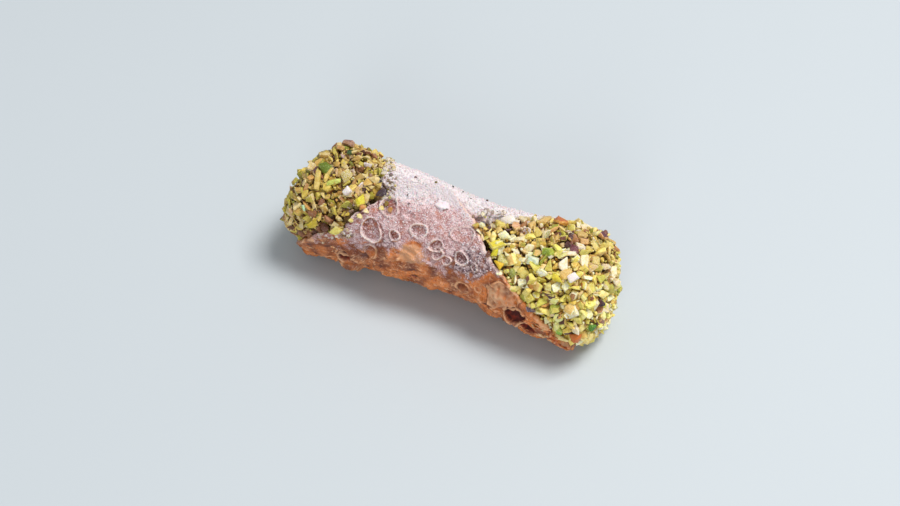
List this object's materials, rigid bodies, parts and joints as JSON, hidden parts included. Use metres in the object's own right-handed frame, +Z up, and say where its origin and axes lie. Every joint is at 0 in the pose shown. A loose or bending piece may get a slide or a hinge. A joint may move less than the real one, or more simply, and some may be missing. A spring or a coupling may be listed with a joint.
{
  "type": "cannoli",
  "caption": "Sicilian cannoli: a rolled, blistered fried pastry shell filled with ricotta cream, with chopped pistachios over both open ends.",
  "frame": {"origin": "middle of the underside, where the cannoli rests", "axes": "+X along the roll, towards the end whose mouth is cut back further; -Y towards the front, where the dough is bare of sugar; +Z up"},
  "size_m": [0.1418, 0.047, 0.0453],
  "materials": {
    "fried_dough": "browned, blistered fried dough dusted with fine sugar",
    "ricotta_cream": "thick matte cream",
    "chopped_nuts": "dry chopped nuts, yellow-green with purple-brown skins"
  },
  "bodies": {
    "root": {"pastry_shell": "fried_dough", "cream_filling": "ricotta_cream", "nut_coat_left": "chopped_nuts", "nut_coat_right": "chopped_nuts"}
  },
  "joints": []
}
